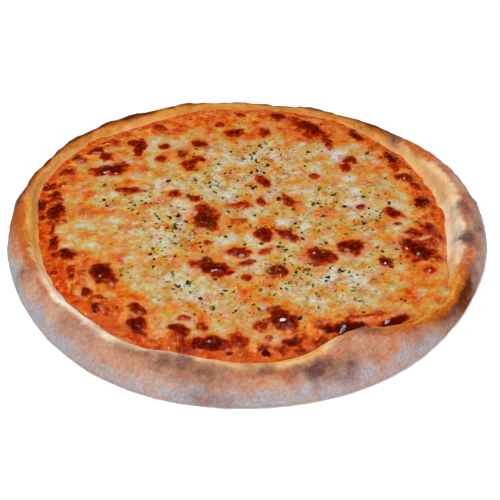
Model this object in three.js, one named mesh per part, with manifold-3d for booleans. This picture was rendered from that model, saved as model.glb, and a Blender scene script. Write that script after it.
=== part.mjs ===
// Margherita pizza, about 320 mm across, baked whole on a stone floor.
//
// Three pieces lie on each other: a dough disc with an uneven puffed rim, a thin layer of tomato
// sauce on its floor, and melted mozzarella with browned blisters and dried oregano flakes.
//
// Millimetres, +Z up. The origin is the middle of the pizza's outline, on the surface it lies on.
// Angles are in degrees, anticlockwise from +X as seen from above.

import * as THREE from 'three';
import { mergeVertices } from 'three/addons/utils/BufferGeometryUtils.js';
import Module from 'manifold-3d';

const { degToRad, radToDeg, seededRandom, lerp } = THREE.MathUtils;
const wasm = await Module();
wasm.setup();

// ---------------------------------------------------------------- driving dimensions

const pizzaRadius = 160;       // mean radius of the outline
const discCentre = { x: -1.9, y: 2.4 };

// Uneven outline: [waves round the rim, depth, angle of the first swell].
const outlineWaves = [[2, 2.1, 71], [3, 3.3, -54], [4, 0.9, -130], [6, 0.6, -18]];

// Stations round the disc, one every 15 degrees from 0: where the rim starts to rise, how high
// its crest stands, and how much bare sauce shows between the rim and the cheese.
const rimFoot = [135, 136, 140, 143, 148, 149, 149, 151, 148, 151, 152, 148,
  138, 135, 133, 131, 131, 128, 129, 127, 120.5, 137.5, 142.5, 136];
const rimHeight = [17, 17, 15, 12.5, 10.5, 9.7, 9.5, 9.5, 10.3, 11, 11.7, 12.7,
  14.3, 16, 17, 17.5, 16, 17.3, 15, 14.5, 19, 15.3, 10, 13];
const sauceMargin = [6, 5, 5, 5, 5, 5, 5, 6, 5, 5, 5, 4,
  6, 8, 8, 9, 9, 9, 9, 7, 4, 2, 1, 3];

// The section that the stations stretch: a rim of this foot, crest and outer radius.
const nominalFoot = 138;
const nominalCrest = 14;

const floorHeight = 4;         // dough under the toppings
const restRadius = 157;        // the flat underside ends here and the rim lifts off the stone
const layerGap = 0.3;          // between touching pieces
const sauceThickness = 0.9;
const cheeseThickness = 2.1;
const cheeseEdgeRound = 1.5;
const cheeseSwell = 0.7;       // how far the melted top rises and falls
const rimLump = 1;             // how far the rim rises and falls between stations

const sauceTop = floorHeight + layerGap + sauceThickness;
const cheeseUnder = sauceTop + layerGap;
const cheeseTop = cheeseUnder + cheeseThickness;

const crustSides = 120;
const cheeseSides = 72;

// Browned blisters of the cheese: [x, y, length, width, turn of the length].
const blisterHeight = 0.24;    // of the width
const blisterSink = 0.8;       // how deep the foot of a blister reaches into the cheese
const blisters = [
  [-129, 14, 14, 12, 90], [-138, 21, 12, 9, 90], [-96, 63, 22, 11, 20], [-81, 38, 13, 7, 0],
  [-77, 91, 17, 8, 90], [-110, 87, 12, 8, 25], [-101, 79, 10, 7, 110], [-134, 45, 12, 8, 55],
  [-116, -33, 13, 9, 140], [-124, -19, 10, 7, 100], [-90, -53, 18, 13, 115], [-91, -84, 10, 7, 130],
  [-64, -99, 13, 9, 120], [-65, -87, 11, 7, 140], [-40, 71, 14, 10, 100], [-34, 98, 11, 8, 150],
  [-8, 112, 13, 9, 150], [14, 112, 10, 8, 90], [25, 132, 13, 8, 120], [50, 117, 26, 13, 135],
  [84, 107, 17, 9, 97], [106, 78, 15, 10, 110], [74, 70, 15, 9, 75], [121, 24, 12, 10, 90],
  [102, 10, 13, 8, 145], [124, -4, 10, 7, 90], [112, -29, 24, 14, 117], [71, -25, 16, 12, 0],
  [48, -36, 17, 12, 0], [21, -50, 14, 9, 160], [-20, -46, 22, 11, 152], [-4, -30, 15, 9, 160],
  [15, -12, 14, 11, 0], [29, -14, 16, 9, 150], [-26, 5, 22, 14, 103], [-3, 20, 15, 9, 0],
  [13, 48, 13, 8, 105], [31, 26, 16, 8, 127], [-37, -104, 14, 8, 155], [-21, -113, 20, 9, 172],
  [24, -95, 19, 13, 133], [9, -102, 10, 8, 90], [13, -119, 9, 8, 90], [65, -100, 27, 9, 8],
  [90, -96, 17, 7, 32],
];

// Dried oregano: the largest flakes, strewn thicker in the middle than towards the rim.
const flakeCount = 150;
const flakeSpacing = 6;
const flakeLength = [3.0, 4.4];
const flakeWidth = [1.3, 2.0];
const flakeHeight = 0.9;
const flakeReach = 0.86;       // of the cheese's radius
const flakeSeed = 11;

// ---------------------------------------------------------------- the uneven disc

/** Smooth closed curve through stations spaced evenly round the disc. */
function around(stations, angle) {
  const place = ((angle / 360) * stations.length + stations.length) % stations.length;
  const before = Math.floor(place);
  const t = place - before;
  const [a, b, c, d] = [-1, 0, 1, 2].map(
    (step) => stations[(before + step + stations.length) % stations.length]);
  return b + 0.5 * t * (c - a + t * (2 * a - 5 * b + 4 * c - d + t * (3 * (b - c) + d - a)));
}

function outerRadius(angle) {
  const swell = outlineWaves.reduce(
    (sum, [waves, depth, start]) => sum + depth * Math.cos(degToRad(waves * angle + start)), 0);
  return pizzaRadius + swell;
}

function cheeseRadius(angle) {
  return around(rimFoot, angle) - around(sauceMargin, angle);
}

/** Lumps of the puffed rim between the stations, by angle and share of the way across it. */
function lumps(angle, across) {
  const a = degToRad(angle);
  return rimLump * (0.5 * Math.sin(11 * a + 1) + 0.3 * Math.sin(19 * a + 5 * across)
    + 0.2 * Math.sin(31 * a - 9 * across));
}

/** Slow rise and fall of the melted top. */
function melt(x, y) {
  return cheeseSwell * (0.5 * Math.sin(x / 14 + 1) * Math.cos(y / 17 - 0.5)
    + 0.3 * Math.sin((x + y) / 21 + 2) + 0.2 * Math.cos((x - 1.6 * y) / 13));
}

/** Moves each vertex of a round disc by its angle, radius and height, to [radius, height]. */
function reshape(geometry, rule) {
  const position = geometry.attributes.position;
  for (let i = 0; i < position.count; i += 1) {
    const x = position.getX(i);
    const y = position.getY(i);
    const angle = radToDeg(Math.atan2(y, x));
    const old = Math.hypot(x, y);
    const [radius, height] = rule(angle, old, position.getZ(i));
    const scale = old > 0 ? radius / old : 0;
    position.setXYZ(i, discCentre.x + x * scale, discCentre.y + y * scale, height);
  }
  return geometry;
}

/** The stations' rule: scales the nominal floor, and stretches the nominal rim at an angle. */
function stretchSection(angle, radius, height) {
  const foot = around(rimFoot, angle);
  if (radius <= nominalFoot) {
    return [radius * foot / nominalFoot, height];
  }
  const across = (radius - nominalFoot) / (pizzaRadius - nominalFoot);
  const crest = around(rimHeight, angle) + lumps(angle, across);
  const lift = (crest - floorHeight) / (nominalCrest - floorHeight);
  const above = Math.max(0, height - floorHeight);
  return [lerp(foot, outerRadius(angle), across), Math.min(height, floorHeight) + above * lift];
}

/** A disc about +Z from its half section: points of [radius, height], up from the axis. */
function turned(section, sides) {
  const points = section.map(([radius, height]) => new THREE.Vector2(radius, height));
  return new THREE.LatheGeometry(points, sides).rotateX(Math.PI / 2);
}

// ---------------------------------------------------------------- solids and meshes

function solid(geometry) {
  const bare = geometry.clone();
  bare.deleteAttribute('normal');
  bare.deleteAttribute('uv');
  const merged = mergeVertices(bare, 1e-3);
  return new wasm.Manifold(new wasm.Mesh({
    numProp: 3,
    vertProperties: new Float32Array(merged.attributes.position.array),
    triVerts: new Uint32Array(merged.index.array),
  }));
}

function geometryOf(body) {
  const { vertProperties, triVerts } = body.getMesh();
  const geometry = new THREE.BufferGeometry();
  geometry.setAttribute('position', new THREE.BufferAttribute(vertProperties, 3));
  geometry.setIndex(new THREE.BufferAttribute(triVerts, 1));
  geometry.computeVertexNormals();
  return geometry;
}

function named(name, geometry, colour, roughness) {
  const material = new THREE.MeshStandardMaterial({ color: colour, roughness, metalness: 0 });
  const mesh = new THREE.Mesh(geometry, material);
  mesh.name = name;
  return mesh;
}

// ---------------------------------------------------------------- the three pieces

/** Dough disc: flat floor, then a rim that climbs steeply, rolls over and tucks under. */
function crust() {
  const underRim = [[restRadius, 0], [159.2, 1.2], [160, 3.4]];
  const rollover = new THREE.SplineCurve([
    new THREE.Vector2(160, 3.4),
    new THREE.Vector2(157.6, 7.8),
    new THREE.Vector2(153, 12.2),
    new THREE.Vector2(147.5, nominalCrest),
    new THREE.Vector2(143.4, 11.6),
    new THREE.Vector2(140.6, 6.6),
    new THREE.Vector2(nominalFoot, floorHeight),
  ]);
  const rim = rollover.getPoints(14).slice(1).map(({ x, y }) => [x, y]);
  const section = [[0, 0], ...underRim, ...rim, [0, floorHeight]];
  return reshape(turned(section, crustSides), stretchSection);
}

/** Tomato sauce: a thin disc out to the rim's foot, its edge sloped like the rim beside it. */
function sauce() {
  const under = floorHeight + layerGap;
  const section = [
    [0, under],
    [nominalFoot - 2 * layerGap, under],
    [nominalFoot - layerGap, sauceTop],
    [0, sauceTop],
  ];
  return reshape(turned(section, crustSides), stretchSection);
}

/** Melted cheese without its blisters: a disc of radius 1 stretched to the cheese's edge. */
function meltedDisc() {
  const rings = [0.97, 0.9, 0.8, 0.7, 0.6, 0.5, 0.4, 0.3, 0.2, 0.1];
  const section = [
    [0, cheeseUnder],
    [1, cheeseUnder],
    [1, cheeseTop - cheeseEdgeRound],
    [0.99, cheeseTop - 0.3 * cheeseEdgeRound],
    ...rings.map((share) => [share, cheeseTop]),
    [0, cheeseTop],
  ];
  return reshape(turned(section, cheeseSides), (angle, share, height) => {
    const radius = share * cheeseRadius(angle);
    const a = degToRad(angle);
    const swell = height < cheeseTop ? 0 : melt(radius * Math.cos(a), radius * Math.sin(a));
    return [radius, height + swell];
  });
}

/** Puts a small shape on the melted top at x, y from the disc's centre, its length turned. */
function onCheese(geometry, x, y, turn) {
  return geometry
    .rotateZ(degToRad(turn))
    .translate(discCentre.x + x, discCentre.y + y, cheeseTop + melt(x, y));
}

/** Half an ellipsoid with a short straight foot in the cheese, drawn in from the sauce. */
function blister([x, y, length, width, turn]) {
  const angle = radToDeg(Math.atan2(y, x));
  const inside = Math.min(1, (cheeseRadius(angle) - 0.4 * width) / Math.hypot(x, y));
  const rise = blisterHeight * width;
  const arc = [0, 30, 60].map((up) => [Math.cos(degToRad(up)), rise * Math.sin(degToRad(up))]);
  const dome = turned([[0, -blisterSink], [1, -blisterSink], ...arc, [0, rise]], 10);
  return onCheese(dome.scale(length / 2, width / 2, 1), x * inside, y * inside, turn);
}

/** Places for the flakes: random, no two closer than their spacing, thinning outwards. */
function flakePlaces() {
  seededRandom(flakeSeed);
  const places = [];
  while (places.length < flakeCount) {
    const angle = 360 * seededRandom();
    const share = flakeReach * Math.pow(seededRandom(), 0.62);
    const radius = share * cheeseRadius(angle);
    const place = new THREE.Vector2(radius, 0).rotateAround(new THREE.Vector2(), degToRad(angle));
    if (places.every((other) => other.distanceTo(place) > flakeSpacing)) {
      places.push(place);
    }
  }
  return places;
}

/** One flake: a small eight-sided sliver, half sunk in the cheese. */
function flake({ x, y }) {
  const length = lerp(...flakeLength, seededRandom());
  const width = lerp(...flakeWidth, seededRandom());
  const sliver = new THREE.OctahedronGeometry(1).scale(length / 2, width / 2, flakeHeight);
  return onCheese(sliver, x, y, 180 * seededRandom());
}

/** Mozzarella: the melted disc with its blisters and flakes fused on; loose scraps are dropped. */
function mozzarella() {
  const lying = [meltedDisc(), ...blisters.map(blister), ...flakePlaces().map(flake)];
  const fused = wasm.Manifold.union(lying.map(solid));
  const bodies = fused.decompose().sort((one, other) => other.volume() - one.volume());
  return geometryOf(bodies[0]);
}

const pizza = new THREE.Group();
pizza.add(named('crust', crust(), 0xd9a066, 0.85));
pizza.add(named('tomato_sauce', sauce(), 0xc8380f, 0.35));
pizza.add(named('mozzarella', mozzarella(), 0xe8c070, 0.45));

export default pizza;
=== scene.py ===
import math

import bmesh
import bpy
import numpy as np
from mathutils import Euler, Matrix


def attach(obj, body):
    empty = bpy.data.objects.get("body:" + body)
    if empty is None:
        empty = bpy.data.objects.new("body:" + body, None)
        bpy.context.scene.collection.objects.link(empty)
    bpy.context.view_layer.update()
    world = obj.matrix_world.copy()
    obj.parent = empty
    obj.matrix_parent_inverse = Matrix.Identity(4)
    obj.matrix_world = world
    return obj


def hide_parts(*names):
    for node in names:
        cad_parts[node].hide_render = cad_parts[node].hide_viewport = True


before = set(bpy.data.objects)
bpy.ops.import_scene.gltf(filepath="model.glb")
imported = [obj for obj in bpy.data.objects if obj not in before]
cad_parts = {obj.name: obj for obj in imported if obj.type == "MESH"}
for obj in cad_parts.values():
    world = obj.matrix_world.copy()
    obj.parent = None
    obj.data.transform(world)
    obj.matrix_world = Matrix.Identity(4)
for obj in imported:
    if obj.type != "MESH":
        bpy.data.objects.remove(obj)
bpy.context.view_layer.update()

# ------------------------------------------------------------------------------------- crust
# Wheat dough stretched by hand, thin under the toppings, with a rim that puffed up on the hot
# stone: pale where the topping kept it moist, golden on the crest, floury outside and scorched
# on its bubbles. The moist slope is painted lighter, as painted light on the shaded inner slope,
# and the flour greyer towards the outer foot, as painted shade. Lengths are millimetres about the
# disc's centre, angles degrees from +X.

MM = 0.001
PIZZA_RADIUS = 160
DISC_CENTRE = (-1.9, 2.4)      # in the part's frame

# Waves of the outline: [how many round the disc, depth, phase in degrees].
OUTLINE_WAVES = ((2, 2.1, 71), (3, 3.3, -54), (4, 0.9, -130), (6, 0.6, -18))

# Stations round the disc, one every 15 degrees: where the rim rises and how high its crest is.
RIM_FOOT = (135, 136, 140, 143, 148, 149, 149, 151, 148, 151, 152, 148,
            138, 135, 133, 131, 131, 128, 129, 127, 120.5, 137.5, 142.5, 136)
RIM_HEIGHT = (17, 17, 15, 12.5, 10.5, 9.7, 9.5, 9.5, 10.3, 11, 11.7, 12.7,
              14.3, 16, 17, 17.5, 16, 17.3, 15, 14.5, 19, 15.3, 10, 13)

# Lumps of the rim between the stations: [depth, how many round the disc, slant across it, phase].
RIM_LUMPS = ((0.5, 11, 0, 1), (0.3, 19, 5, 0), (0.2, 31, -9, 0))

# The half section that the stations stretch, of [radius, height].
NOMINAL_FOOT = 138
NOMINAL_CREST = 14
FLOOR_HEIGHT = 4
UNDERSIDE = ((0, 0), (40, 0), (80, 0), (120, 0), (158.8, 0), (159.6, 0.25), (160, 0.8), (160.2, 1.8))
ROLLOVER = ((160, 3.4), (157.6, 7.8), (153, 12.2), (147.5, 14), (143.4, 11.6), (140.6, 6.6), (138, 4))
ROLLOVER_STEPS = 96
FLOOR = ((110, 4), (60, 4), (0, 4))
TURN_STEPS = 720

# Finishes round the rim at the same stations. The moist slope reaches out to MOIST_TO, and flour
# and burnt dough start at FLOUR_FROM and BURNT_FROM, as shares of the rim's width from its foot.
# The others say how strong a finish is.
MOIST_TO = (0.34, 0.42, 0.3, 0.2, 0.22, 0.26, 0.28, 0.26, 0.24, 0.24, 0.26, 0.34,
            0.34, 0.3, 0.36, 0.44, 0.42, 0.4, 0.5, 0.46, 0.1, 0.1, 0.15, 0.34)
FLOUR_FROM = (0.6, 0.55, 0.6, 0.9, 0.9, 0.9, 0.9, 0.9, 0.9, 0.9, 0.9, 0.9,
              0.8, 0.55, 0.45, 0.5, 0.48, 0.45, 0.6, 0.65, 0.5, 0.62, 0.97, 0.55)
FLOUR = (0.6, 0.55, 0.4, 0.1, 0, 0, 0, 0, 0, 0, 0, 0,
         0, 0.8, 0.8, 0.65, 0.5, 0.5, 0.6, 0.7, 0.5, 0.6, 0, 0.4)
GOLDEN = (0.3, 0.4, 0.9, 1.4, 1.4, 1.4, 1.4, 1.4, 1.5, 1.4, 1.2, 1.0,
          1.1, 1.0, 0.25, 0.2, 0.15, 0.15, 0.7, 0.35, 0.5, 1.4, 1.5, 0.6)
OILY = (0.1, 0.4, 0.2, 0.5, 0.6, 0.7, 0.6, 0.7, 0.6, 0.5, 0.5, 0.7,
        0.8, 0.5, 0, 0, 0, 0.2, 0.8, 0.7, 0.3, 0.9, 1.2, 0.3)
BURNT = (0, 0.1, 0.4, 0.8, 1.1, 1.1, 1, 1, 1.1, 1.3, 1.3, 0.9,
         0.3, 0, 0, 0, 0, 0, 0, 0, 0, 0.2, 1.5, 0.6)
BURNT_FROM = (0.8, 0.8, 0.6, 0.24, 0.22, 0.24, 0.26, 0.26, 0.26, 0.26, 0.3, 0.4,
              0.5, 0.8, 0.8, 0.8, 0.8, 0.8, 0.8, 0.8, 0.7, 0.6, 0.55, 0.6)
MILKY_MOIST = (0.5, 0.2, 0, 0, 0, 0, 0, 0, 0, 0, 0, 0,
               0, 0.1, 0.5, 0.9, 0.4, 0.4, 0.1, 0.1, 0.3, 0, 0, 0.6)

# Scorched bubbles: [angle, share of the way across the rim, half length, half width, strength].
SCORCHES = (
    (2, 0.46, 9, 7, 0.6), (351, 0.5, 11, 8, 0.85), (340, 0.66, 8, 4, 0.3), (21, 0.78, 12, 4, 0.5),
    (41, 0.3, 8, 3, 0.9), (147, 0.8, 14, 4, 0.7), (170, 0.88, 9, 4, 1.5), (204, 0.72, 9, 5, 0.5),
    (232, 0.5, 14, 8, 0.3), (243, 0.45, 12, 6, 0.4), (254, 0.52, 19, 7, 0.75), (266, 0.52, 8, 4, 0.6),
    (263, 0.95, 15, 3, 0.5), (286, 0.62, 15, 6, 1.0), (291, 0.74, 17, 7, 0.7), (302, 0.4, 8, 5, 0.8),
    (312, 0.7, 9, 5, 0.4), (226, 0.72, 9, 5, 0.4), (250, 0.4, 20, 7, 0.5), (262, 0.62, 20, 8, 0.6),
    (273, 0.5, 12, 5, 0.7), (6, 0.7, 14, 7, 0.5), (356, 0.75, 12, 6, 0.7),
)

# Unevenness, as ripples of [size, depth, seed]. The relief is as deep in millimetres, a wander in
# shares of the rim's width, and the others in shares of a scorch's size or a finish's strength.
RIPPLE_WAVES = 16
WAVE_LENGTH = (1.3, 2.9)       # shortest and longest, in sizes of the ripple
RIM_RELIEF = ((14, 0.5, 1), (6, 0.34, 2), (2.6, 0.18, 3))
SCORCH_RAGGED = ((7, 0.22, 4), (3, 0.08, 5))
MOIST_WANDER = ((12, 0.04, 6), (4, 0.02, 7))
GOLDEN_MOTTLE = ((10, 0.15, 8),)
BURNT_WANDER = ((8, 0.06, 9),)
FLOUR_WANDER = ((11, 0.06, 10), (4, 0.03, 11))
UNDER_SCORCH = ((18, 1, 12),)
SKIN_MOTTLE = ((14, 0.5, 13),)
DUST_AND_SHADE_WANDER = ((9, 0.05, 14),)
OIL_WANDER = ((9, 0.05, 15),)

RELIEF_SINK = 0.2              # how far below the plain section its middle lies
RELIEF_WALL = (0.75, 1)        # where across the rim the relief calms down
RELIEF_LOST = (0.5, 0.6)       # how much of it goes on the outer wall, and where it is moist
SCORCH_RISE = 0.8
RIM_START = (0.02, 0.15)       # where across the rim the relief sets in
WALL_START = (0, 2)            # and how high up the wall

# Where a finish is missing and where it is full. The first four count from its edge outwards, as
# shares of the rim's width.
MOIST_FADE = (0.12, -0.1)
FLOUR_FADE = (-0.04, 0.1)
BURNT_FADE = (0, 0.3)
OIL_FADE = (0.1, -0.1)
OIL_REACH = (0.25, 0.15)       # where its edge lies, and how much further out per share of oil
DUST_AND_SHADE_FADE = (0.72, 0.97)       # across the rim
DUST_AND_SHADE_STRENGTH = 1.3
SCORCH_FADE = (1.5, 0.1)       # from its middle, in half sizes of the scorch
UNDER_FADE = (0.3, 0.9)        # on the ripple
BURNT_WALL = (0.7, 1)          # where across the rim the burning gets weaker
BURNT_LOST = 0.5
SMOOTHED = (0.75, 0.45)        # how much moisture and flour smooth the crust
GOLD_LOST = 0.8                # of the golden finish, where it is moist
MOST_PAINT = 1.5               # that a point keeps of a finish

DOUGH_TAN = "#C99A7E"
DOUGH_PINK = "#B0745A"
# The moist slope's cream and white are pale dough, painted lighter than it is: painted light on the inner
# slope, which lies in shade.
MOIST_AND_LIT_CREAM = "#F0D092"
MOIST_AND_LIT_WHITE = "#F6F0E4"
OILY_YELLOW = "#DE9632"
CREST_GOLD = "#C26014"
BURNT_GOLD = "#5E280A"
FLOUR_PINK = "#C69A80"
# Grey flour on the outer wall's foot, with painted shade: greyer and bluer where the wall turns under.
GREY_FLOUR_AND_SHADE = "#AEA9AD"
SCORCH_BROWN = "#6C4A42"

# Finishes in the order in which they lie on the dough: [painted share, colour, size of the spots
# that they break up into, how ragged those are].
FINISHES = (
    ("skin", DOUGH_PINK, 10, 5),
    # pale moist dough, painted lighter as light on the shaded inner slope
    ("moist", MOIST_AND_LIT_CREAM, 8, 2.5),
    ("milky", MOIST_AND_LIT_WHITE, 9, 2),
    ("golden", CREST_GOLD, 5, 4.5),
    ("oily", OILY_YELLOW, 9, 3),
    ("burnt", BURNT_GOLD, 5, 2.4),
    ("flour", FLOUR_PINK, 9, 5),
    # flour, and painted shade at the foot of the outer wall
    ("dust_and_shade", GREY_FLOUR_AND_SHADE, 8, 4),
    ("scorch", SCORCH_BROWN, 6, 3),
)
SPOT_DETAIL = {"Detail": 6, "Roughness": 0.63}
SPOT_SEEDS = 2.3               # how far apart the patterns of the finishes are
DOUGH_GRAIN = {"Scale": 1 / (2 * MM), "Detail": 4, "Roughness": 0.7}
GRAIN_RUN = (0.34, 0.66)       # of the noise
GRAIN_TONE = (0.68, 1.2)       # darkest and lightest
GRAIN_DEPTH = 0.45
DRY_CRUST = {"Roughness": 0.8, "Specular IOR Level": 0.08}


def around(stations, angle):
    """A smooth closed curve through stations spaced evenly round the disc, read at angles."""
    values = np.asarray(stations, float)
    place = np.mod(angle / 360 * len(values), len(values))
    before = np.floor(place).astype(int)
    t = place - before
    a, b, c, d = (values[(before + step) % len(values)] for step in (-1, 0, 1, 2))
    return b + 0.5 * t * (c - a + t * (2 * a - 5 * b + 4 * c - d + t * (3 * (b - c) + d - a)))


def through(points, steps):
    """A smooth open curve through a few points."""
    ends = np.array([points[0], *points, points[-1]], float)
    place = np.linspace(0, len(points) - 1, steps + 1)
    before = np.minimum(place.astype(int), len(points) - 2)
    t = (place - before)[:, None]
    a, b, c, d = (ends[before + step] for step in (0, 1, 2, 3))
    return b + 0.5 * t * (c - a + t * (2 * a - 5 * b + 4 * c - d + t * (3 * (b - c) + d - a)))


def outer_radius(angle):
    turn = np.radians(angle)
    waves = sum(depth * np.cos(count * turn + math.radians(start)) for count, depth, start in OUTLINE_WAVES)
    return PIZZA_RADIUS + waves


def lumps(angle, across):
    """Lumps of the puffed rim between the stations."""
    turn = np.radians(angle)
    return sum(depth * np.sin(count * turn + slant * across + phase)
               for depth, count, slant, phase in RIM_LUMPS)


def smooth(low, high, value):
    """0 below low and 1 above high, with a soft step between."""
    t = np.clip((value - low) / (high - low), 0, 1)
    return t * t * (3 - 2 * t)


def ripple(points, size, seed):
    """Soft random unevenness within about -1 to 1, with humps about `size` across."""
    draw = np.random.default_rng(seed)
    total = np.zeros(len(points))
    for _ in range(RIPPLE_WAVES):
        direction = draw.normal(size=3)
        direction /= np.linalg.norm(direction)
        wave = size * draw.uniform(*WAVE_LENGTH)
        total += np.sin(points @ direction * math.tau / wave + draw.uniform(0, math.tau))
    return total / math.sqrt(RIPPLE_WAVES)


def uneven(points, ripples):
    """Ripples of [size, depth, seed] added up."""
    return sum(depth * ripple(points, size, seed) for size, depth, seed in ripples)


def polar(points):
    """Angle and radius of points about the disc's centre."""
    return np.degrees(np.arctan2(points[:, 1], points[:, 0])), np.hypot(points[:, 0], points[:, 1])


def stretch(points):
    """Moves points of the round nominal disc to the uneven pizza."""
    angle, radius = polar(points)
    foot = around(RIM_FOOT, angle)
    across = np.clip((radius - NOMINAL_FOOT) / (PIZZA_RADIUS - NOMINAL_FOOT), 0, 1)
    crest = around(RIM_HEIGHT, angle) + lumps(angle, across)
    lift = np.where(across > 0, (crest - FLOOR_HEIGHT) / (NOMINAL_CREST - FLOOR_HEIGHT), 1)
    above = np.maximum(0, points[:, 2] - FLOOR_HEIGHT)
    new_radius = np.where(across > 0, foot + across * (outer_radius(angle) - foot),
                          radius * foot / NOMINAL_FOOT)
    scale = new_radius / np.maximum(radius, 1e-9)
    height = np.minimum(points[:, 2], FLOOR_HEIGHT) + above * lift
    return np.column_stack([points[:, 0] * scale, points[:, 1] * scale, height])


def turned(section, steps):
    """A mesh turned about +Z from a half section, closed where it meets the axis."""
    shape = bmesh.new()
    points = [shape.verts.new((radius, 0, height)) for radius, height in section]
    edges = [shape.edges.new(pair) for pair in zip(points, points[1:])]
    bmesh.ops.spin(shape, geom=points + edges, cent=(0, 0, 0), axis=(0, 0, 1), dvec=(0, 0, 0),
                   angle=math.tau, steps=steps, use_merge=True)
    bmesh.ops.remove_doubles(shape, verts=shape.verts, dist=1e-4)
    bmesh.ops.recalc_face_normals(shape, faces=shape.faces)
    return shape


def rows_of(items, field):
    """A field of a mesh's vertices or normals, as rows of an array."""
    values = np.empty(len(items) * 3, np.float32)
    items.foreach_get(field, values)
    return values.reshape(-1, 3).astype(float)


def move_vertices(mesh, points):
    mesh.vertices.foreach_set("co", points.astype(np.float32).ravel())
    mesh.update()


def paint(mesh, name, share):
    """Keeps a share for each vertex, which the material reads by name."""
    layer = mesh.attributes.new(name, "FLOAT", "POINT")
    layer.data.foreach_set("value", np.clip(share, 0, MOST_PAINT).astype(np.float32))


def new_piece(name, shape):
    """A mesh object from a bmesh, smooth all over."""
    mesh = bpy.data.meshes.new(name)
    shape.to_mesh(mesh)
    shape.free()
    mesh.shade_smooth()
    piece = bpy.data.objects.new(name, mesh)
    bpy.context.scene.collection.objects.link(piece)
    return piece


def to_metres(mesh):
    """From millimetres about the disc's centre to metres in the part's frame."""
    points = rows_of(mesh.vertices, "co") + (*DISC_CENTRE, 0)
    move_vertices(mesh, points * MM)


def linear(hex_colour):
    """An sRGB hex colour as linear RGBA."""
    parts = [int(hex_colour[i:i + 2], 16) / 255 for i in (1, 3, 5)]
    return [c / 12.92 if c <= 0.04045 else ((c + 0.055) / 1.055) ** 2.4 for c in parts] + [1]


def new_material(name):
    material = bpy.data.materials.new(name)
    material.use_nodes = True
    material.node_tree.nodes.clear()
    return material, material.node_tree


def add(tree, kind, inputs=(), **settings):
    """Adds a node; its inputs, by name or in order, are values or the sockets that feed them."""
    node = tree.nodes.new(kind)
    for name, value in settings.items():
        setattr(node, name, value)
    for name, value in inputs.items() if isinstance(inputs, dict) else enumerate(inputs):
        if isinstance(value, bpy.types.NodeSocket):
            tree.links.new(value, node.inputs[name])
        else:
            node.inputs[name].default_value = value
    return node


def baked_dough():
    """Baked wheat dough: dry and dull, mottled from pale to brown, under a dusting of flour that turns
    greyer towards the outer wall's foot as painted shade.
    """
    material, tree = new_material("baked_dough")
    place = add(tree, "ShaderNodeTexCoord").outputs["Object"]
    grain = add(tree, "ShaderNodeTexNoise", {"Vector": place, **DOUGH_GRAIN}).outputs["Fac"]
    shade = linear(DOUGH_TAN)
    for number, (name, colour, spot_size, raggedness) in enumerate(FINISHES):
        spots = add(tree, "ShaderNodeTexNoise", {"Vector": place, "Scale": 1 / (spot_size * MM),
                                                 "W": SPOT_SEEDS * number, **SPOT_DETAIL},
                    noise_dimensions="4D").outputs["Fac"]
        share = add(tree, "ShaderNodeAttribute", attribute_name=name).outputs["Fac"]
        ragged = add(tree, "ShaderNodeMath", (spots, raggedness, 1 - raggedness / 2),
                     operation="MULTIPLY_ADD").outputs[0]
        mask = add(tree, "ShaderNodeMath", (share, ragged), operation="MULTIPLY", use_clamp=True).outputs[0]
        shade = add(tree, "ShaderNodeMix", {0: mask, 6: shade, 7: linear(colour)},
                    data_type="RGBA").outputs[2]
    # The moist slope and the floured wall are smoother than the bare crust.
    rough = add(tree, "ShaderNodeAttribute", attribute_name="rough").outputs["Fac"]
    tone = add(tree, "ShaderNodeMapRange", (grain, *GRAIN_RUN, *GRAIN_TONE)).outputs[0]
    shade = add(tree, "ShaderNodeMix", {0: rough, 6: shade, 7: tone}, data_type="RGBA",
                blend_type="MULTIPLY").outputs[2]
    bump = add(tree, "ShaderNodeBump", {"Height": grain, "Strength": rough, "Distance": GRAIN_DEPTH * MM})
    skin = add(tree, "ShaderNodeBsdfPrincipled", {"Base Color": shade, "Normal": bump.outputs[0],
                                                  **DRY_CRUST})
    add(tree, "ShaderNodeOutputMaterial", {"Surface": skin.outputs[0]})
    return material


def scorches(places, angle, across):
    """How strongly each point of the rim is scorched."""
    foot = around(RIM_FOOT, angle)
    rim_width = outer_radius(angle) - foot
    ragged = uneven(places, SCORCH_RAGGED)
    scorch = np.zeros(len(places))
    for at, share, half_length, half_width, strength in SCORCHES:
        along = np.radians((angle - at + 180) % 360 - 180) * (foot + across * rim_width)
        off = np.hypot(along / half_length, (across - share) * rim_width / half_width) + ragged
        scorch = np.maximum(scorch, strength * smooth(*SCORCH_FADE, off))
    return scorch


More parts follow.
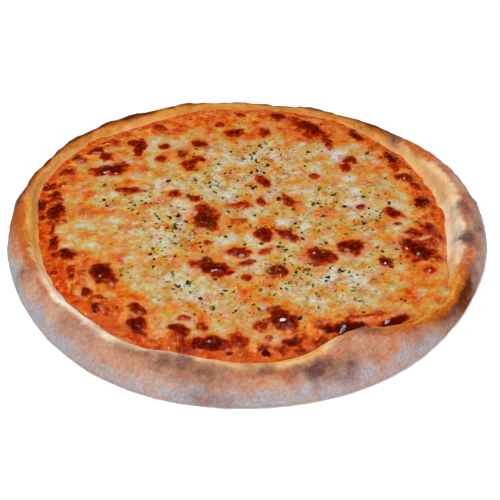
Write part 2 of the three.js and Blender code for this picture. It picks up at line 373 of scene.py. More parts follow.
def paint_rim(mesh, places, angle, across, moist):
    """Paints where each finish of the rim lies, apart from the scorches."""
    flour_edge = around(FLOUR_FROM, angle) + uneven(places, FLOUR_WANDER)
    floured = around(FLOUR, angle) * smooth(*FLOUR_FADE, across - flour_edge)
    burnt_edge = around(BURNT_FROM, angle) + uneven(places, BURNT_WANDER)
    burnt = around(BURNT, angle) * smooth(*BURNT_FADE, across - burnt_edge)
    oil = around(OILY, angle)
    oil_edge = OIL_REACH[0] + OIL_REACH[1] * oil + uneven(places, OIL_WANDER)
    # The grey dust grows towards the foot of the outer wall: flour, and painted shade there.
    dust_and_shade_share = around(FLOUR, angle) * smooth(*DUST_AND_SHADE_FADE, across + uneven(places, DUST_AND_SHADE_WANDER))
    golden = around(GOLDEN, angle) * (1 - GOLD_LOST * moist)
    paint(mesh, "skin", 0.5 + uneven(places, SKIN_MOTTLE))
    # Moist: pale dough, painted lighter as light where the inner slope lies in shade.
    paint(mesh, "moist", moist)
    paint(mesh, "rough", 1 - SMOOTHED[0] * moist - SMOOTHED[1] * floured)
    paint(mesh, "golden", golden + uneven(places, GOLDEN_MOTTLE))
    paint(mesh, "oily", oil * smooth(*OIL_FADE, across - oil_edge))
    paint(mesh, "burnt", burnt * (1 - BURNT_LOST * smooth(*BURNT_WALL, across)))
    paint(mesh, "flour", floured)
    # Milky: pale dough, painted lighter as light on the shaded slope.
    paint(mesh, "milky", moist * around(MILKY_MOIST, angle))
    paint(mesh, "dust_and_shade", DUST_AND_SHADE_STRENGTH * dust_and_shade_share)


def crust():
    section = [*UNDERSIDE, *through(ROLLOVER, ROLLOVER_STEPS), *FLOOR]
    piece = new_piece("baked_crust", turned(section, TURN_STEPS))
    mesh = piece.data
    nominal = rows_of(mesh.vertices, "co")
    angle, radius = polar(nominal)
    across = (radius - NOMINAL_FOOT) / (PIZZA_RADIUS - NOMINAL_FOOT)
    places = stretch(nominal)
    move_vertices(mesh, places)

    moist = smooth(*MOIST_FADE, across - around(MOIST_TO, angle) - uneven(places, MOIST_WANDER))
    on_rim = smooth(*RIM_START, across) * smooth(*WALL_START, nominal[:, 2])
    scorch = scorches(places, angle, across) * on_rim
    calm = (1 - RELIEF_LOST[0] * smooth(*RELIEF_WALL, across)) * (1 - RELIEF_LOST[1] * moist)
    relief = (uneven(places, RIM_RELIEF) - RELIEF_SINK) * calm
    outwards = rows_of(mesh.vertex_normals, "vector")
    places = places + outwards * ((relief + SCORCH_RISE * scorch) * on_rim)[:, None]
    move_vertices(mesh, places)

    paint_rim(mesh, places, angle, across, moist)
    under = nominal[:, 2] < 0.5
    paint(mesh, "scorch", scorch + under * smooth(*UNDER_FADE, uneven(places, UNDER_SCORCH)))
    to_metres(mesh)
    return piece


baked_crust = crust()
baked_crust.data.materials.append(baked_dough())
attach(baked_crust, "root")
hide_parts("crust")

# ------------------------------------------------------------------------------ tomato sauce
# Crushed tomatoes spread thin over the floor of the dough and baked until the oil came out.
# It shows as a glossy red ring, pushed a little way up the rim in places.

SAUCE_UNDER = 4.3
SAUCE_TOP = 5.2
SAUCE_ON_RIM = 0.3             # how thick it lies on the rim's slope
SAUCE_SMEAR = 0.02             # of the rim's width, up its inner slope
SAUCE_TUCK = 0.6               # how far inside the rim's foot the underside ends
SAUCE_ROWS = 46
SAUCE_RING = (0.82, 0.4)       # of the foot's radius: the inner end of the rows, and one row further in
SAUCE_PULP = ((7, 0.25, 21), (3.4, 0.26, 22), (1.8, 0.1, 23))
SAUCE_WANDER = ((14, 0.05, 24), (6, 0.03, 25))  # depths as shares of the rim's width
WANDER_FROM = (0.93, 1)        # of the foot's radius
EDGE_SINK = 0.1                # how far its edge sinks into the dough

SAUCE_RED = "#C83A08"
SAUCE_DARK = "#A42A08"
SAUCE_OILY = "#E67A1E"
PULP_NOISE = {"Scale": 1 / (5 * MM), "Detail": 5, "Roughness": 0.6}
SAUCE_GRAIN = {"Scale": 1 / (1.8 * MM), "Detail": 2}
DARK_RUN = (0.47, 0.35)        # of the pulp's noise
OILY_RUN = (0.5, 0.64)
WET = {"Roughness": 0.08, "Specular IOR Level": 0.3}
WET_BUMP = 1.0                 # how deep the grain of sauce and cheese is

# Small bubbles that came up along the rim.
BUBBLE_COUNT = 230
BUBBLE_LENGTH = (3, 12)
BUBBLE_SLENDER = (0.6, 1.0)    # width as a share of the length
BUBBLE_FROM_FOOT = (1, 17)
BUBBLE_HEAT = (0.15, 0.45, 1.0)  # least, most common and most
RING_HEAT = (1, 0.95, 0.9, 0.6, 0.5, 0.55, 0.62, 0.6, 0.65, 0.75, 0.85, 0.9,
             1, 0.9, 0.85, 0.75, 0.72, 0.75, 0.76, 0.76, 0.75, 0.35, 0, 0.5)
BUBBLE_SEED = 20
BUBBLE_IN_SAUCE = (0.6, 0.8)   # how much of their rise and of their browning shows on the sauce
DOME_RISE = 0.19               # of the width
DOME_RAGGED = ((7, 0.22, 31), (3, 0.14, 32))
DOME_REACH = 0.7               # how far from one its points are looked for, times length and halo
BROWN_HALO = (2.5, 0.9)        # where the browning ends and is full, in half sizes of the bubble
BROWN_CAP = (1.45, 0.5)        # the same for the darker browning on top
HALO_HEAT = 0.38               # how much of the browning is in the halo
BROWNING = ((0.04, "#E0943A"), (0.16, "#DA6C1C"), (0.32, "#C4480C"), (0.52, "#A02A04"),
            (0.76, "#781600"), (1.0, "#4A0A00"))
BROWN_FLICKER = (1.9, -0.95)   # times the noise, and added
BROWN_COVER = (0.03, 0.46)     # browning at which it starts to hide the colour below, and hides it
TAUT_RUN = (0.4, 0.8)          # browning over which the bumps fade
TAUT_BUMP = (0.9, 0.22)        # how strong they are before and after


def on_disc(angle, radius):
    """Places on the disc, as [x, y], from angle and radius."""
    turn = np.radians(angle)
    return np.column_stack([radius * np.cos(turn), radius * np.sin(turn)])


def bubbles():
    """Rows for the bubbles along the rim: [x, y, length, width, turn, how dark they baked]."""
    draw = np.random.default_rng(BUBBLE_SEED)
    angle = draw.uniform(0, 360, BUBBLE_COUNT)
    radius = around(RIM_FOOT, angle) - draw.uniform(*BUBBLE_FROM_FOOT, BUBBLE_COUNT)
    length = draw.uniform(*BUBBLE_LENGTH, BUBBLE_COUNT)
    width = length * draw.uniform(*BUBBLE_SLENDER, BUBBLE_COUNT)
    heat = draw.triangular(*BUBBLE_HEAT, BUBBLE_COUNT) * around(RING_HEAT, angle)
    turn = draw.uniform(0, 180, BUBBLE_COUNT)
    return np.column_stack([on_disc(angle, radius), length, width, turn, heat])


def domes(points, rows):
    """Height and browning that domed bubbles give at each point; the browning bleeds out round them."""
    ragged = uneven(points, DOME_RAGGED)
    rise, browning = np.zeros(len(points)), np.zeros(len(points))
    for x, y, length, width, turn, heat in rows:
        reach = DOME_REACH * length * BROWN_HALO[0]
        near = np.flatnonzero(np.hypot(points[:, 0] - x, points[:, 1] - y) < reach)
        c, s = math.cos(math.radians(turn)), math.sin(math.radians(turn))
        dx, dy = points[near, 0] - x, points[near, 1] - y
        off = np.hypot((dx * c + dy * s) / (length / 2), (dy * c - dx * s) / (width / 2)) + ragged[near]
        dome = DOME_RISE * width * np.clip(1 - np.maximum(off, 0) ** 2, 0, 1)
        brown = HALO_HEAT * smooth(*BROWN_HALO, off) + (1 - HALO_HEAT) * smooth(*BROWN_CAP, off)
        rise[near] = np.maximum(rise[near], dome)
        browning[near] = np.maximum(browning[near], heat * brown)
    return rise, browning


def bed_height(angle, radius):
    """Height of the dough under the toppings: its floor, then the inner slope of the rim."""
    foot = around(RIM_FOOT, angle)
    across = np.clip((radius - foot) / (outer_radius(angle) - foot), 0, 1)
    slope = through(ROLLOVER, ROLLOVER_STEPS)[::-1]
    nominal = np.interp(NOMINAL_FOOT + across * (PIZZA_RADIUS - NOMINAL_FOOT), slope[:, 0], slope[:, 1])
    crest = around(RIM_HEIGHT, angle) + lumps(angle, across)
    return FLOOR_HEIGHT + (nominal - FLOOR_HEIGHT) * (crest - FLOOR_HEIGHT) / (NOMINAL_CREST - FLOOR_HEIGHT)


def sauce_surface(points):
    """Height of the sauce's lumpy top at points of the disc."""
    flat = points * (1, 1, 0)
    smooth_top = np.maximum(SAUCE_TOP, bed_height(*polar(points)) + SAUCE_ON_RIM)
    return smooth_top + uneven(flat, SAUCE_PULP)


def set_stops(scale, stops):
    """Gives a run of colours its [place, colour] stops."""
    points = scale.color_ramp.elements
    points[0].position, points[1].position = stops[0][0], stops[-1][0]
    for position, _ in stops[1:-1]:
        points.new(position)
    for point, (_, colour) in zip(points, stops):
        point.color = linear(colour)


def browned(tree, shade, crackle):
    """Lays the oven's browning over a shade, as strong as the surface was painted with it."""
    baked = add(tree, "ShaderNodeAttribute", attribute_name="browning").outputs["Fac"]
    flicker = add(tree, "ShaderNodeMath", (crackle, *BROWN_FLICKER), operation="MULTIPLY_ADD").outputs[0]
    toasted = add(tree, "ShaderNodeMath", (baked, flicker), operation="ADD").outputs[0]
    toast = add(tree, "ShaderNodeValToRGB", {"Fac": toasted})
    set_stops(toast, BROWNING)
    cover = add(tree, "ShaderNodeMapRange", (baked, *BROWN_COVER)).outputs[0]
    return add(tree, "ShaderNodeMix", {0: cover, 6: shade, 7: toast.outputs["Color"]},
               data_type="RGBA").outputs[2]


def wet_surface(tree, shade, grain):
    """An oily surface; its bumps fade where it was drawn taut over a browned bubble."""
    baked = add(tree, "ShaderNodeAttribute", attribute_name="browning").outputs["Fac"]
    slack = add(tree, "ShaderNodeMapRange", (baked, *TAUT_RUN, *TAUT_BUMP)).outputs[0]
    bump = add(tree, "ShaderNodeBump", {"Height": grain, "Strength": slack, "Distance": WET_BUMP * MM})
    wet = add(tree, "ShaderNodeBsdfPrincipled", {"Base Color": shade, "Normal": bump.outputs[0], **WET})
    add(tree, "ShaderNodeOutputMaterial", {"Surface": wet.outputs[0]})


def oily_sauce():
    """Cooked tomato under its own oil: deep red in the hollows, orange where the oil lies."""
    material, tree = new_material("oily_tomato_sauce")
    place = add(tree, "ShaderNodeTexCoord").outputs["Object"]
    pulp = add(tree, "ShaderNodeTexNoise", {"Vector": place, **PULP_NOISE}).outputs["Fac"]
    grain = add(tree, "ShaderNodeTexNoise", {"Vector": place, **SAUCE_GRAIN}).outputs["Fac"]
    shade = linear(SAUCE_RED)
    for run, colour in ((DARK_RUN, SAUCE_DARK), (OILY_RUN, SAUCE_OILY)):
        mask = add(tree, "ShaderNodeMapRange", (pulp, *run)).outputs[0]
        shade = add(tree, "ShaderNodeMix", {0: mask, 6: shade, 7: linear(colour)},
                    data_type="RGBA").outputs[2]
    wet_surface(tree, browned(tree, shade, pulp), grain)
    return material


def sauce():
    smear = NOMINAL_FOOT + SAUCE_SMEAR * (PIZZA_RADIUS - NOMINAL_FOOT)
    ring_end, inner_row = np.multiply(SAUCE_RING, NOMINAL_FOOT)
    top_rows = [*np.linspace(smear, ring_end, SAUCE_ROWS), inner_row, 0]
    section = [(0, SAUCE_UNDER), (NOMINAL_FOOT - SAUCE_TUCK, SAUCE_UNDER),
               *((row, SAUCE_TOP) for row in top_rows)]
    piece = new_piece("sauce_layer", turned(section, TURN_STEPS))
    mesh = piece.data
    nominal = rows_of(mesh.vertices, "co")
    places = stretch(nominal)
    angle, radius = polar(places)
    foot = around(RIM_FOOT, angle)
    shift = uneven(places * (1, 1, 0), SAUCE_WANDER) * (outer_radius(angle) - foot) / foot
    places[:, :2] *= 1 + (shift * smooth(*WANDER_FROM, radius / foot))[:, None]

    top = nominal[:, 2] > (SAUCE_UNDER + SAUCE_TOP) / 2
    edge = top & (polar(nominal)[1] > smear - 0.01)
    rise, browning = domes(places * (1, 1, 0), bubbles())
    places[top, 2] = sauce_surface(places[top]) + BUBBLE_IN_SAUCE[0] * rise[top]
    places[edge, 2] = bed_height(*polar(places[edge])) - EDGE_SINK
    paint(mesh, "browning", browning * BUBBLE_IN_SAUCE[1])
    move_vertices(mesh, places)
    to_metres(mesh)
    return piece


sauce_layer = sauce()
sauce_layer.data.materials.append(oily_sauce())
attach(sauce_layer, "root")
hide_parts("tomato_sauce")

# -------------------------------------------------------------------------- melted mozzarella
# Grated mozzarella melted into one sheet. It is milky and rosy in the middle, where the sauce
# shows through, orange towards the rim, and browned where it blistered in the oven's heat.

CHEESE_TOP = 7.6
SUNK_EDGE = 0.45               # how far the sheet's edge dips into the sauce
EDGE_ROUND = 7                 # how wide its rounded edge is
SAUCE_MARGIN = (6, 5, 5, 5, 5, 5, 5, 6, 5, 5, 5, 4, 6, 8, 8, 9, 9, 9, 9, 7, 4, 0, -4, 1)
GRID_CELLS = 306
CHEESE_UNDER = 4.2
MELT_DEPTH = 0.7
CURD_RELIEF = ((9, 0.22, 35), (4, 0.16, 36), (2, 0.07, 37))
EDGE_WANDER = ((13, 1.6, 33), (5, 0.8, 34))

# Blisters: [x, y, length, width, turn of the length, how dark they baked].
BLISTERS = (
    (-129, 14, 14, 12, 90, 1.0), (-140, 22, 12, 9, 90, 0.95), (-138, 8, 9, 6, 90, 0.85),
    (-96, 63, 22, 11, 20, 1.0), (-81, 38, 13, 7, 0, 0.8), (-77, 91, 17, 7, 90, 0.9),
    (-83, 97, 9, 7, 0, 0.85), (-124, 81, 9, 7, 90, 0.85), (-110, 87, 12, 8, 25, 0.85),
    (-101, 79, 10, 7, 110, 0.85), (-129, 59, 8, 6, 0, 0.8), (-137, 45, 12, 8, 55, 0.8),
    (-106, 98, 7, 5, 0, 0.75), (-66, 121, 9, 8, 90, 0.75), (-134, 31, 7, 6, 0, 0.7),
    (-60, 93, 7, 7, 0, 0.75), (-61, 77, 7, 7, 0, 0.65), (-129, -6, 9, 5, 90, 0.8),
    (-126, -20, 10, 7, 100, 0.95), (-116, -33, 12, 9, 140, 0.95), (-34, 98, 11, 8, 150, 0.9),
    (-46, 83, 11, 9, 90, 0.7), (-39, 69, 13, 9, 90, 0.75), (-33, 77, 13, 5, 150, 0.7),
    (-8, 112, 13, 9, 150, 0.85), (-19, 123, 7, 6, 0, 0.7), (14, 112, 10, 8, 90, 0.75),
    (-3, 138, 9, 7, 0, 0.75), (25, 135, 13, 8, 120, 0.9), (49, 118, 27, 14, 135, 0.9),
    (61, 100, 14, 7, 115, 0.7), (-49, 33, 10, 7, 0, 0.75), (-35, 28, 8, 7, 0, 0.8),
    (13, 48, 14, 8, 105, 0.75), (50, 55, 8, 7, 0, 0.65), (-26, 5, 23, 15, 103, 0.95),
    (-3, 20, 15, 10, 0, 0.5), (12, 24, 10, 7, 115, 0.7), (31, 26, 17, 8, 127, 0.7),
    (-3, 1, 10, 8, 0, 0.45), (14, -11, 13, 12, 0, 0.85), (29, -13, 16, 9, 150, 0.75),
    (-24, -21, 6, 5, 145, 0.55), (-4, -30, 15, 9, 160, 0.8), (15, -30, 12, 7, 30, 0.5),
    (-20, -46, 22, 11, 152, 0.95), (21, -50, 14, 9, 160, 0.8), (48, -36, 17, 14, 0, 0.9),
    (1, -42, 10, 6, 20, 0.6), (2, -56, 6, 6, 0, 0.6), (84, 110, 17, 9, 97, 1.0),
    (107, 79, 15, 10, 111, 1.0), (76, 76, 10, 9, 0, 0.75), (72, 64, 11, 7, 75, 0.75),
    (111, 55, 8, 8, 0, 0.75), (121, 43, 8, 7, 0, 0.7), (123, 24, 12, 10, 90, 1.0),
    (80, 18, 7, 6, 0, 0.6), (102, 10, 13, 8, 143, 0.85), (103, -1, 6, 4, 0, 0.6),
    (125, -4, 10, 7, 90, 0.95), (71, -25, 16, 13, 0, 0.9), (113, -29, 24, 14, 117, 1.0),
    (115, -11, 15, 7, 0, 0.75), (130, -10, 7, 5, 90, 0.8), (-90, -53, 17, 13, 112, 1.0),
    (-83, -59, 10, 6, 117, 0.8), (-109, -55, 7, 6, 90, 0.75), (-122, -49, 6, 5, 0, 0.6),
    (-98, -70, 6, 5, 90, 0.85), (-91, -84, 9, 7, 131, 0.95), (-90, -75, 6, 6, 90, 0.6),
    (-65, -87, 11, 7, 139, 0.75), (-64, -99, 13, 9, 118, 0.95), (-37, -104, 14, 8, 154, 0.85),
    (-37, -94, 8, 5, 0, 0.6), (-25, -102, 9, 7, 90, 0.6), (-21, -115, 21, 9, 172, 0.95),
    (24, -95, 19, 14, 133, 0.95), (9, -102, 10, 8, 90, 0.65), (13, -123, 9, 8, 90, 1.1),
    (28, -114, 11, 4, 8, 0.95), (33, -120, 10, 6, 0, 0.6), (-9, -123, 5, 4, 0, 0.8),
    (92, -40, 9, 7, 130, 0.85), (126, -38, 8, 7, 90, 0.65), (118, -49, 8, 5, 0, 0.6),
    (63, -102, 26, 8, 6, 1.2), (91, -97, 17, 6, 32, 1.1), (76, -92, 26, 4, 8, 0.55),
)

# Broad patches of the sheet: [x, y, half length, half width, strength], with ragged soft edges.
PATCH_RAGGED = ((12, 0.25, 38), (5, 0.12, 39))
PATCH_FADE = (1.3, 0.2)
MILKY = ((-55, 1, 26, 20, 0.2), (-17, 42, 22, 18, 0.8), (68, 79, 18, 14, 0.9), (-1, -18, 14, 9, 1.0),
         (-37, -61, 45, 20, 0.7), (58, -60, 28, 18, 0.9), (81, 18, 22, 16, 0.7),
         (14, 82, 20, 12, 0.7), (62, 30, 26, 18, 0.6))
ROSY = ((20, 73, 26, 14, 0.9), (29, 66, 14, 12, 0.7), (64, -59, 26, 16, 0.8), (-76, -8, 26, 16, 0.6),
        (47, 90, 20, 14, 0.6), (-43, 50, 26, 14, 0.6), (92, -22, 20, 20, 0.5), (-18, 64, 18, 12, 0.5))
WARM = ((-102, 15, 26, 30, 0.3), (-116, 44, 22, 26, 0.6), (-54, 76, 36, 22, 0.5),
        (-105, -13, 22, 22, 0.3), (4, 124, 84, 26, 1.0), (69, 114, 34, 24, 0.8),
        (112, -78, 30, 26, 0.3), (-95, -32, 24, 24, 0.7), (-73, -78, 30, 18, 0.8),
        (-4, -91, 36, 14, 0.15), (8, -68, 22, 18, 0.9), (104, 30, 24, 50, 0.35),
        (114, -62, 24, 34, 0.7), (-88, 58, 30, 30, 0.25), (2, -4, 30, 16, 0.35))

# The sheet gets saucy towards the rim's foot: how far off that starts and is full, and how far
# it wanders.
SAUCY_FADE = (24, 4)
SAUCY_WANDER = 12
SAUCY_TINT = 1.6               # how soon the tints of the saucy parts are full

# How pale and how rosy the sheet is: all over, then how much more or less by each share.
PALE = (0.54, 0.24, -0.37, -0.45, 0.12)  # milky, warm, saucy, ragged
ROSE = (0.62, 0.5, -0.4, -0.6)           # rosy, warm, saucy

# How the sheet's colour runs from where sauce and oil soaked it to where it stayed milky.
PALENESS = ((0.0, "#D03A04"), (0.14, "#E06610"), (0.3, "#DC8626"), (0.46, "#D29E48"),
            (0.6, "#D0B06A"), (0.78, "#CEC498"), (1.0, "#DAD3CC"))
CURD_NOISE = {"Scale": 1 / (12 * MM), "Detail": 5, "Roughness": 0.6}
CURD_CONTRAST = 2.3

CURD_ROSE = "#D98A6C"
CURD_LILAC = "#DED4D6"
OIL_STAIN = "#BE661E"
TOASTED_SPECK = "#7A4A14"
PULP_RED = "#AE2404"
# Light orange scraps on the saucy ring are painted sheen of the oil.
PAINTED_OIL_SHEEN = "#FFA64A"

# Scraps of tint: [colour, size, run of the noise that they take, the painted share they follow].
TINTS = (
    (CURD_ROSE, 7, (0.52, 0.6), "rosy"),
    (CURD_LILAC, 8, (0.55, 0.67), "rosy"),
    (OIL_STAIN, 9, (0.53, 0.62), "rosy"),
    (TOASTED_SPECK, 3, (0.58, 0.68), "rosy"),
    (PULP_RED, 6, (0.53, 0.63), "saucy"),
    # painted sheen of the oil on the saucy ring
    (PAINTED_OIL_SHEEN, 4.5, (0.49, 0.58), "saucy"),
)
TINT_DETAIL = {"Detail": 4, "Roughness": 0.6}
TINT_SEEDS = (5, 3.0)          # the first pattern, and how far apart they are
TINT_STRENGTH = (0.0, 0.85)
# The cheese's grain also darkens it where the grain's bumps are low: painted shade in the hollows between
# curds.
CHEESE_GRAIN = {"Scale": 1 / (2.2 * MM), "Detail": 3, "Roughness": 0.6}
CHEESE_RUN = (0.32, 0.62)      # of the noise
CREVICE_SHADE_TONE = (0.72, 1.04)     # darkest and lightest
CRACKLE = {"Scale": 1 / (3 * MM), "Detail": 4, "Roughness": 0.65}


def melt(points):
    """Slow rise and fall of the melted top."""
    x, y = points[:, 0], points[:, 1]
    return MELT_DEPTH * (0.5 * np.sin(x / 14 + 1) * np.cos(y / 17 - 0.5)
                         + 0.3 * np.sin((x + y) / 21 + 2) + 0.2 * np.cos((x - 1.6 * y) / 13))


def patches(points, rows, ragged):
    """Strength of a set of soft-edged oval patches at each point."""
    strength = np.zeros(len(points))
    for x, y, half_length, half_width, full in rows:
        off = np.hypot((points[:, 0] - x) / half_length, (points[:, 1] - y) / half_width) + ragged
        strength = np.maximum(strength, full * smooth(*PATCH_FADE, off))
    return strength


def weighed(weights, shares):
    """The first weight, and each share times its own weight."""
    return weights[0] + sum(weight * share for weight, share in zip(weights[1:], shares))


def sheet_edge(points):
    """How far inside the sheet's wandering edge each point lies, as a share of its rounding."""
    angle, radius = polar(points)
    edge = around(RIM_FOOT, angle) - around(SAUCE_MARGIN, angle) + uneven(points, EDGE_WANDER)
    return np.clip((edge - radius) / EDGE_ROUND, 0, 1)


def sheet_top(points):
    """Height of the cheese with its blisters, and how browned it is, at points of the disc."""
    flat = points * (1, 1, 0)
    rise, browning = domes(flat, (*BLISTERS, *bubbles()))
    body = np.sqrt(1 - (1 - sheet_edge(flat)) ** 2)
    top = CHEESE_TOP + melt(flat) + uneven(flat, CURD_RELIEF)
    return (sauce_surface(flat) - SUNK_EDGE) * (1 - body) + top * body + rise, browning


def melted_cheese():
    """Melted mozzarella: moist curds, milky, rosy or soaked with orange oil, browned on the blisters."""
    material, tree = new_material("melted_mozzarella")
    place = add(tree, "ShaderNodeTexCoord").outputs["Object"]
    curds = add(tree, "ShaderNodeTexNoise", {"Vector": place, **CURD_NOISE}).outputs["Fac"]
    pale = add(tree, "ShaderNodeAttribute", attribute_name="pale").outputs["Fac"]
    paleness = add(tree, "ShaderNodeMath", (curds, CURD_CONTRAST, pale), operation="MULTIPLY_ADD").outputs[0]
    centred = add(tree, "ShaderNodeMath", (paleness, CURD_CONTRAST / 2), operation="SUBTRACT").outputs[0]
    curd_shades = add(tree, "ShaderNodeValToRGB", {"Fac": centred})
    set_stops(curd_shades, PALENESS)
    shade = curd_shades.outputs["Color"]
    for number, (colour, size, run, follows) in enumerate(TINTS):
        pattern = TINT_SEEDS[0] + TINT_SEEDS[1] * number
        scraps = add(tree, "ShaderNodeTexNoise", {"Vector": place, "Scale": 1 / (size * MM), "W": pattern,
                                                  **TINT_DETAIL}, noise_dimensions="4D").outputs["Fac"]
        share = add(tree, "ShaderNodeAttribute", attribute_name=follows).outputs["Fac"]
        tint = add(tree, "ShaderNodeMapRange", (scraps, *run, *TINT_STRENGTH)).outputs[0]
        tinted = add(tree, "ShaderNodeMath", (tint, share), operation="MULTIPLY", use_clamp=True).outputs[0]
        shade = add(tree, "ShaderNodeMix", {0: tinted, 6: shade, 7: linear(colour)},
                    data_type="RGBA").outputs[2]
    grain = add(tree, "ShaderNodeTexNoise", {"Vector": place, **CHEESE_GRAIN}).outputs["Fac"]
    # Painted shade: darker in the low parts of the grain that also bumps the surface.
    tone = add(tree, "ShaderNodeMapRange", (grain, *CHEESE_RUN, *CREVICE_SHADE_TONE)).outputs[0]
    shade = add(tree, "ShaderNodeMix", {0: 1.0, 6: shade, 7: tone}, data_type="RGBA",
                blend_type="MULTIPLY").outputs[2]
    crackle = add(tree, "ShaderNodeTexNoise", {"Vector": place, **CRACKLE}).outputs["Fac"]
    wet_surface(tree, browned(tree, shade, crackle), grain)
    return material


def square_sheet():
    """A sheet of fine square cells, 2 across and 1 deep, closed below."""
    shape = bmesh.new()
    bmesh.ops.create_grid(shape, x_segments=GRID_CELLS, y_segments=GRID_CELLS, size=1)
    rim = [edge for edge in shape.edges if edge.is_boundary]
    skirt = bmesh.ops.extrude_edge_only(shape, edges=rim)["geom"]
    hem = [item for item in skirt if isinstance(item, bmesh.types.BMVert)]
    bmesh.ops.translate(shape, verts=hem, vec=(0, 0, -1))
    bmesh.ops.edgeloop_fill(shape, edges=[edge for edge in shape.edges if edge.is_boundary])
    bmesh.ops.recalc_face_normals(shape, faces=shape.faces)
    return shape


def drawn_round(square):
    """Angle and share of the radius, once the square's rings of cells are drawn round."""
    x, y = square[:, 0], square[:, 1]
    wide = np.abs(x) >= np.abs(y)
    lead = np.where(wide, x, y)
    side = np.where(wide, y, x)
    swing = np.pi / 4 * side / np.where(lead == 0, 1, lead)
    angle = np.degrees(np.where(wide, swing, np.pi / 2 - swing)) + np.where(lead < 0, 180, 0)
    return angle, np.abs(lead)


def paint_sheet(mesh, places, to_rim, angle):
    """Paints how pale, rosy and saucy the sheet is."""
    ragged = uneven(places, PATCH_RAGGED)
    milky, rosy, warm = (patches(places, rows, ragged) for rows in (MILKY, ROSY, WARM))
    saucy = smooth(*SAUCY_FADE, to_rim + SAUCY_WANDER * ragged) * around(RING_HEAT, angle)
    paint(mesh, "pale", weighed(PALE, (milky, warm, saucy, ragged)))
    paint(mesh, "rosy", weighed(ROSE, (rosy, warm, saucy)))
    paint(mesh, "saucy", np.minimum(1, SAUCY_TINT * saucy))


def cheese():
    piece = new_piece("mozzarella_sheet", square_sheet())
    mesh = piece.data
    square = rows_of(mesh.vertices, "co")
    angle, ring = drawn_round(square)
    foot = around(RIM_FOOT, angle)
    reach = ring * (foot + np.maximum(0, -around(SAUCE_MARGIN, angle)))
    places = np.column_stack([on_disc(angle, reach), np.zeros(len(ring))])
    height, browning = sheet_top(places)
    paint_sheet(mesh, places, foot * (1 - ring), angle)
    paint(mesh, "browning", browning)
    below = square[:, 2] < -0.5
    places[:, 2] = np.where(below, CHEESE_UNDER, height)
    move_vertices(mesh, places)
    to_metres(mesh)
    return piece


mozzarella_sheet = cheese()
mozzarella_sheet.data.materials.append(melted_cheese())
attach(mozzarella_sheet, "root")
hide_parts("mozzarella")

# ----------------------------------------------------------------------------- dried oregano
# Rubbed dried oregano strewn over the hot cheese: curled scraps of leaf that lie where they
# fell, thickest in the middle, some sunk a little way in.

# Pinches of flakes: [x, y, how far they scattered, count].
PINCHES = (
    (-93, 31, 7, 16), (-62, 16, 9, 32), (-72, 20, 6, 14), (-48, -3, 9, 32), (-35, -21, 8, 23),
    (-31, 46, 8, 19), (-2, 87, 8, 16), (-28, 90, 6, 9), (-5, 61, 8, 19), (-47, -38, 7, 11),
    (-75, -51, 7, 9), (-59, -29, 8, 14), (-41, -63, 6, 19), (-22, -85, 6, 9), (-3, -85, 6, 9),
    (-15, -89, 5, 7), (-43, -75, 7, 9), (14, 83, 7, 27), (57, 88, 7, 11), (89, 80, 5, 7),
    (18, 61, 8, 19), (85, 42, 7, 14), (97, 32, 6, 9), (57, 33, 8, 19), (56, 19, 6, 27), (73, 5, 7, 14),
    (89, 7, 6, 11), (20, 2, 7, 11), (72, -7, 6, 9), (34, -1, 7, 11), (22, -39, 7, 14), (32, -43, 6, 11),
    (32, -60, 5, 23), (16, -66, 6, 11), (42, -52, 6, 14), (50, -73, 6, 9), (71, -72, 6, 9),
    (72, -79, 5, 7), (84, -47, 6, 9), (96, -33, 6, 9), (100, -42, 6, 7), (102, -82, 5, 4),
    (60, -52, 7, 11), (9, -88, 6, 9), (44, -97, 6, 7), (-20, 20, 36, 120), (40, 0, 36, 120),
    (10, -50, 36, 70),
)
FLAKE_LENGTH = (1, 4.0)
FLAKE_SMALLNESS = 2.4          # the small ones are the many
FLAKE_SLENDER = (0.35, 0.95)   # width as a share of the length
FLAKE_THICK = 0.5
FLAKE_CURL = 0.25              # of the length
FLAKE_RAGGED = (0.25, 0.3)     # how much its length and width vary along it
FLAKE_TILT = (0.25, 0.2)       # radians
FLAKE_LIFT = 0.1
FLAKE_SEED = 51
OREGANO = ((0.0, "#1E1E0A"), (0.4, "#383C10"), (0.7, "#555A20"), (0.9, "#7A7E34"), (1.0, "#988E48"))
DRY_LEAF = {"Roughness": 0.7, "Specular IOR Level": 0.1}


def flake(shape, place, length, width, lean):
    """Adds one flake: a flattened ball with a ragged outline, curled across its length."""
    leaf = bmesh.ops.create_icosphere(shape, subdivisions=2, radius=0.5)["verts"]
    z = place[2]
    for vert in leaf:
        vert.co.z *= FLAKE_THICK
        vert.co.x *= length * (1 + FLAKE_RAGGED[0] * math.sin(5 * vert.co.y + 9 * z))
        vert.co.y *= width * (1 + FLAKE_RAGGED[1] * math.cos(4 * vert.co.x + 7 * z))
        vert.co.z += FLAKE_CURL * vert.co.x ** 2 / length
    lifted = (place[0], place[1], z + FLAKE_LIFT)
    bmesh.ops.transform(shape, matrix=Matrix.LocRotScale(lifted, lean, None), verts=leaf)


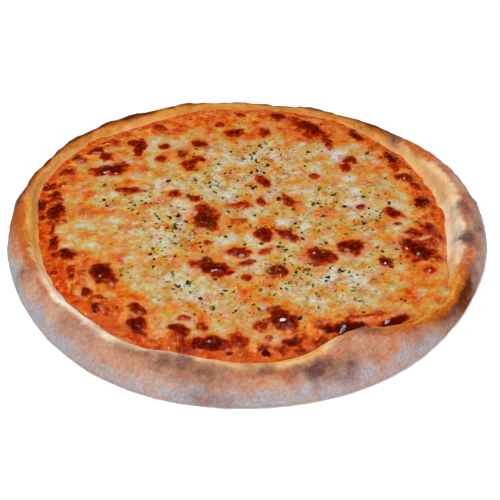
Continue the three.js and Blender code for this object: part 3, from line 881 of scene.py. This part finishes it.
def oregano():
    """All the flakes as one mesh."""
    draw = np.random.default_rng(FLAKE_SEED)
    centres = np.concatenate([draw.normal((x, y), scatter, (count, 2)) for x, y, scatter, count in PINCHES])
    angle, radius = polar(centres)
    centres = centres[radius < around(RIM_FOOT, angle)]
    height, _ = sheet_top(np.column_stack([centres, np.zeros(len(centres))]))
    shape = bmesh.new()
    for place in np.column_stack([centres, height]):
        length = FLAKE_LENGTH[0] + (FLAKE_LENGTH[1] - FLAKE_LENGTH[0]) * draw.random() ** FLAKE_SMALLNESS
        width = length * draw.uniform(*FLAKE_SLENDER)
        tilt = (draw.normal(0, FLAKE_TILT[0]), draw.normal(0, FLAKE_TILT[1]), draw.uniform(0, math.tau))
        flake(shape, place, length, width, Euler(tilt))
    flake_points = len(shape.verts) // len(centres)
    piece = new_piece("oregano_flakes", shape)
    paint(piece.data, "leaf", np.repeat(draw.uniform(0, 1, len(centres)), flake_points))
    to_metres(piece.data)
    return piece


def dried_leaf():
    """Dried oregano leaf: dull green, from blackish to straw-coloured."""
    material, tree = new_material("dried_oregano")
    leaf = add(tree, "ShaderNodeAttribute", attribute_name="leaf").outputs["Fac"]
    greens = add(tree, "ShaderNodeValToRGB", {"Fac": leaf})
    set_stops(greens, OREGANO)
    dry = add(tree, "ShaderNodeBsdfPrincipled", {"Base Color": greens.outputs["Color"], **DRY_LEAF})
    add(tree, "ShaderNodeOutputMaterial", {"Surface": dry.outputs[0]})
    return material


oregano_flakes = oregano()
oregano_flakes.data.materials.append(dried_leaf())
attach(oregano_flakes, "root")
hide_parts("mozzarella")

# ---------------------------------------------------------------------- floor, light, camera
# A plain white table that glows a little, so that it comes out white. A small strong light
# overhead gives the glints, and a large soft one in front lights the food without any.
# Lengths here are in metres.

FLOOR_SIZE = 6.0
PAPER_WHITE = "#FAFAFA"
MATT_PAPER = {"Roughness": 0.9, "Specular IOR Level": 0.1, "Emission Strength": 0.15}
KEY_LIGHT = {"place": (-0.12, -0.12, 1.0), "size": 0.06, "watts": 5.4, "mirrored": True}
FILL_LIGHT = {"place": (0.4, -2.2, 0.95), "size": 3.0, "watts": 15, "mirrored": False}
SKY_WHITE = "#FFFFFF"
SKY_STRENGTH = 0.54
VIEW = {"target": (0.002, -0.0169), "distance": 0.7, "elevation": 39, "lens": 76, "sensor": 36}


def plain_floor():
    shape = bmesh.new()
    bmesh.ops.create_grid(shape, x_segments=1, y_segments=1, size=FLOOR_SIZE / 2)
    piece = new_piece("floor", shape)
    material, tree = new_material("white_table")
    white = linear(PAPER_WHITE)
    matt = add(tree, "ShaderNodeBsdfPrincipled", {"Base Color": white, "Emission Color": white,
                                                  **MATT_PAPER})
    add(tree, "ShaderNodeOutputMaterial", {"Surface": matt.outputs[0]})
    piece.data.materials.append(material)
    return piece


def soft_light(name, place, size, watts, mirrored):
    """A square light aimed at the origin; one that isn't mirrored shows in no glint."""
    lamp = bpy.data.lights.new(name, "AREA")
    lamp.size = size
    lamp.energy = watts
    holder = bpy.data.objects.new(name, lamp)
    bpy.context.scene.collection.objects.link(holder)
    holder.visible_glossy = mirrored
    holder.location = place
    x, y, z = place
    holder.rotation_euler = (math.atan2(math.hypot(x, y), z), 0, math.atan2(-y, -x) - math.pi / 2)


def camera(target, distance, elevation, lens, sensor):
    """A camera on the -Y side that looks down on a target on the table by its elevation."""
    lift = math.radians(elevation)
    eye = bpy.data.objects.new("camera", bpy.data.cameras.new("camera"))
    eye.data.lens = lens
    eye.data.sensor_width = sensor
    eye.location = (target[0], target[1] - distance * math.cos(lift), distance * math.sin(lift))
    eye.rotation_euler = (math.pi / 2 - lift, 0, 0)
    bpy.context.scene.collection.objects.link(eye)
    bpy.context.scene.camera = eye


def pale_sky():
    """An even white sky that lights the food and shows in no glint."""
    world = bpy.data.worlds.new("studio")
    bpy.context.scene.world = world
    world.use_nodes = True
    sky = world.node_tree.nodes["Background"].inputs
    sky["Color"].default_value = linear(SKY_WHITE)
    sky["Strength"].default_value = SKY_STRENGTH
    world.cycles_visibility.glossy = False


plain_floor()
soft_light("key", **KEY_LIGHT)
soft_light("fill", **FILL_LIGHT)
camera(**VIEW)
pale_sky()
bpy.context.scene.view_settings.view_transform = "Standard"
